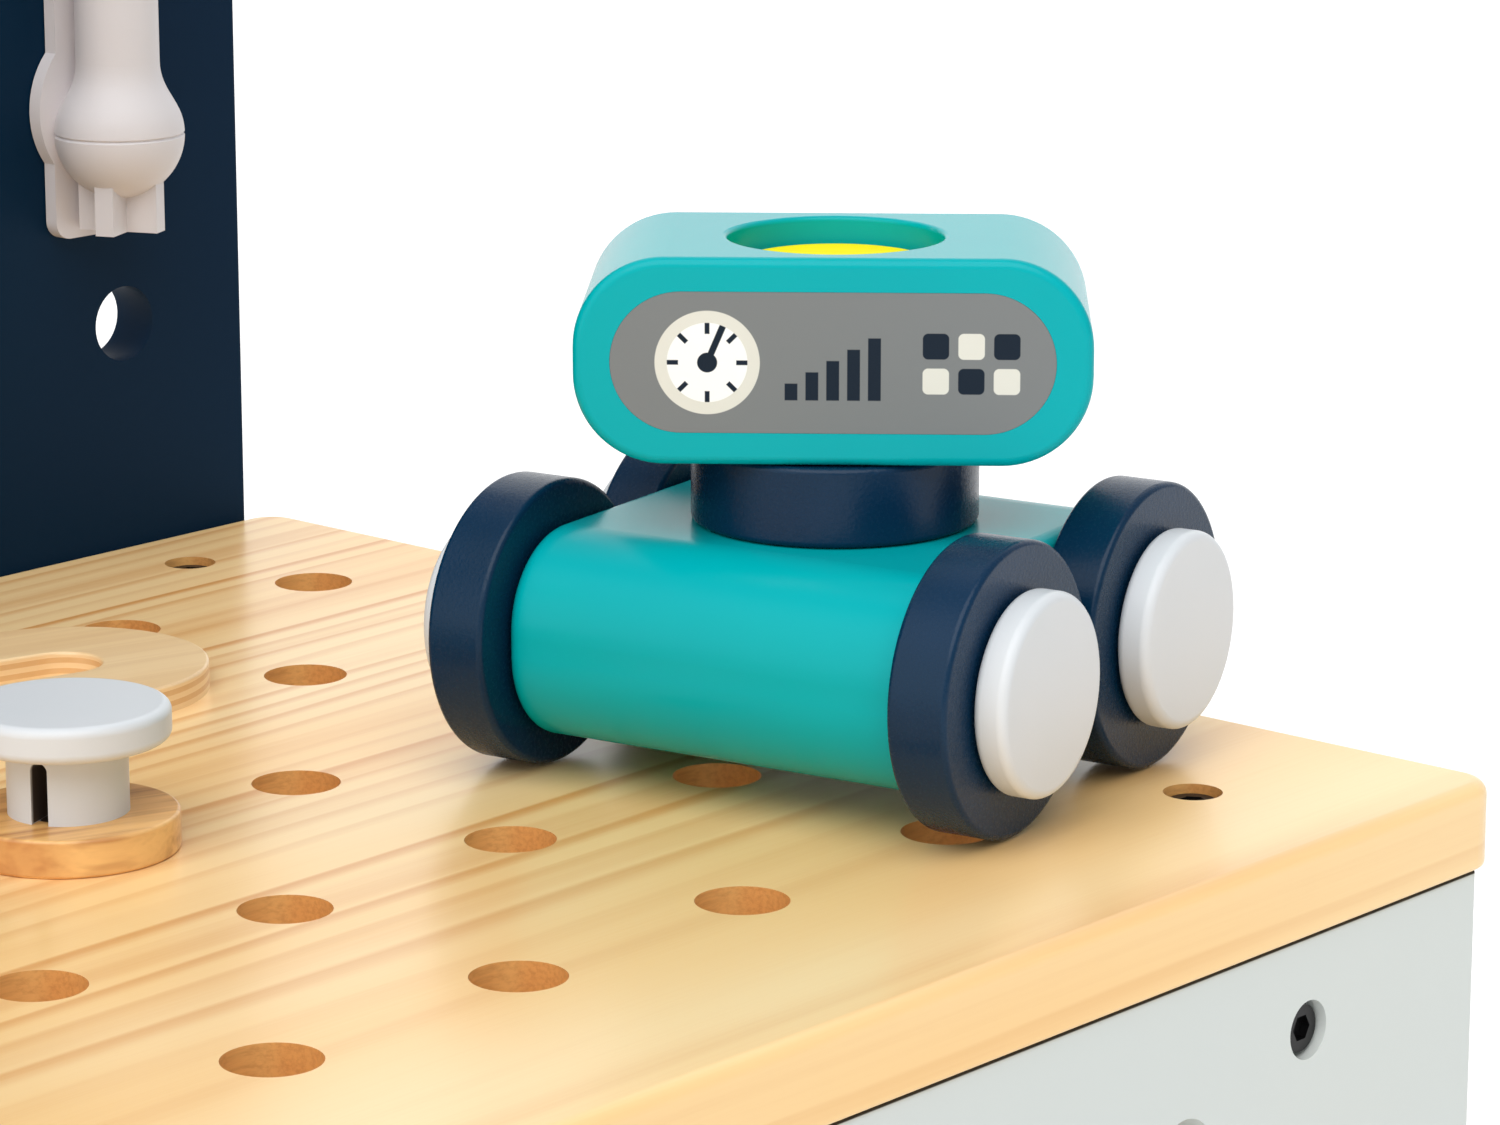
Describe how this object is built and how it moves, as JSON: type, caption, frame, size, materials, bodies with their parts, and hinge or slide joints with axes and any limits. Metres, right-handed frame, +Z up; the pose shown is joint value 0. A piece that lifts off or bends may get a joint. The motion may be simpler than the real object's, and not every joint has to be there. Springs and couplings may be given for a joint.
{
  "type": "toy workbench",
  "caption": "Toy workbench with a peg-hole top, tool panel, lower shelf, a hanging driver, and a take-apart robot that rolls and turns on split pegs.",
  "frame": {"origin": "on the floor, at the middle of the bench's length and depth", "axes": "+Z up, +Y to the back panel, +X to the right seen from the front"},
  "size_m": [0.424, 0.3116, 0.7],
  "materials": {
    "pine": "clear satin lacquer",
    "apron_paint": "satin paint",
    "panel_paint": "matte paint",
    "screw_steel": "black phosphate",
    "dowel": "clear satin lacquer",
    "tool_plastic": "satin",
    "robot_paint": "satin paint",
    "wheel_paint": "satin paint",
    "peg_plastic": "satin",
    "head_peg_plastic": "satin",
    "visor_print": "matte",
    "disc_wood": "clear satin lacquer",
    "strip_wood": "clear satin lacquer"
  },
  "bodies": {
    "bench": {"worktop": "pine", "worktop_screws": "screw_steel", "front_apron": "apron_paint", "apron_screws": "screw_steel", "back_panel": "panel_paint", "panel_screws": "screw_steel", "tool_pegs": "dowel", "front_left_leg": "pine", "front_right_leg": "pine", "back_left_leg": "pine", "back_right_leg": "pine", "left_upper_rail": "apron_paint", "right_upper_rail": "apron_paint", "left_lower_rail": "apron_paint", "right_lower_rail": "apron_paint", "rail_bolts": "screw_steel", "lower_shelf": "pine", "shelf_screws": "screw_steel"},
    "driver": {"driver_shaft": "tool_plastic", "driver_bit": "tool_plastic", "driver_back": "tool_plastic"},
    "robot": {"robot_body": "robot_paint"},
    "neck": {"robot_neck": "wheel_paint"},
    "head": {"robot_head": "robot_paint", "head_visor": "visor_print"},
    "head_peg": {"head_peg": "head_peg_plastic"},
    "front_left_peg": {"front_left_wheel_peg": "peg_plastic"},
    "front_right_peg": {"front_right_wheel_peg": "peg_plastic"},
    "rear_left_peg": {"rear_left_wheel_peg": "peg_plastic"},
    "rear_right_peg": {"rear_right_wheel_peg": "peg_plastic"},
    "front_left_wheel": {"front_left_wheel": "wheel_paint"},
    "front_right_wheel": {"front_right_wheel": "wheel_paint"},
    "rear_left_wheel": {"rear_left_wheel": "wheel_paint"},
    "rear_right_wheel": {"rear_right_wheel": "wheel_paint"},
    "loose_peg": {"loose_peg": "peg_plastic"},
    "disc": {"wooden_disc": "disc_wood"},
    "strip": {"slotted_strip": "strip_wood"}
  },
  "joints": [
    {"name": "driver_unhook", "type": "slide", "parent": "bench", "child": "driver", "axis": [0, -1, 0], "range_m": [0, 0.036]},
    {"name": "robot_lift", "type": "slide", "parent": "bench", "child": "robot", "axis": [0, 0, 1], "range_m": [0, 0.12]},
    {"name": "neck_spin", "type": "hinge", "parent": "robot", "child": "neck", "pos_m": [0.14598, -0.06377, 0.47], "axis": [0, 0, 1], "continuous": true},
    {"name": "head_swivel", "type": "hinge", "parent": "robot", "child": "head", "pos_m": [0.14598, -0.06377, 0.4933], "axis": [0, 0, 1], "continuous": true},
    {"name": "head_peg_pull", "type": "slide", "parent": "robot", "child": "head_peg", "axis": [0, 0, 1], "range_m": [0, 0.055]},
    {"name": "front_left_peg_pull", "type": "slide", "parent": "robot", "child": "front_left_peg", "axis": [0.1771, -0.9842, 0], "range_m": [0, 0.022]},
    {"name": "front_right_peg_pull", "type": "slide", "parent": "robot", "child": "front_right_peg", "axis": [-0.1771, 0.9842, 0], "range_m": [0, 0.022]},
    {"name": "rear_left_peg_pull", "type": "slide", "parent": "robot", "child": "rear_left_peg", "axis": [0.1771, -0.9842, 0], "range_m": [0, 0.022]},
    {"name": "rear_right_peg_pull", "type": "slide", "parent": "robot", "child": "rear_right_peg", "axis": [-0.1771, 0.9842, 0], "range_m": [0, 0.022]},
    {"name": "front_left_wheel_spin", "type": "hinge", "parent": "front_left_peg", "child": "front_left_wheel", "pos_m": [0.12069, -0.06832, 0.4447], "axis": [0.1771, -0.9842, 0], "continuous": true},
    {"name": "front_right_wheel_spin", "type": "hinge", "parent": "front_right_peg", "child": "front_right_wheel", "pos_m": [0.12069, -0.06832, 0.4447], "axis": [0.1771, -0.9842, 0], "continuous": true},
    {"name": "rear_left_wheel_spin", "type": "hinge", "parent": "rear_left_peg", "child": "rear_left_wheel", "pos_m": [0.16931, -0.05958, 0.4447], "axis": [0.1771, -0.9842, 0], "continuous": true},
    {"name": "rear_right_wheel_spin", "type": "hinge", "parent": "rear_right_peg", "child": "rear_right_wheel", "pos_m": [0.16931, -0.05958, 0.4447], "axis": [0.1771, -0.9842, 0], "continuous": true},
    {"name": "loose_peg_pull", "type": "slide", "parent": "bench", "child": "loose_peg", "axis": [0, 0, 1], "range_m": [0, 0.03]},
    {"name": "disc_spin", "type": "hinge", "parent": "loose_peg", "child": "disc", "pos_m": [0.025, -0.00575, 0.42], "axis": [0, 0, 1], "continuous": true},
    {"name": "strip_lift", "type": "slide", "parent": "bench", "child": "strip", "axis": [0, 0, 1], "range_m": [0, 0.06]}
  ]
}
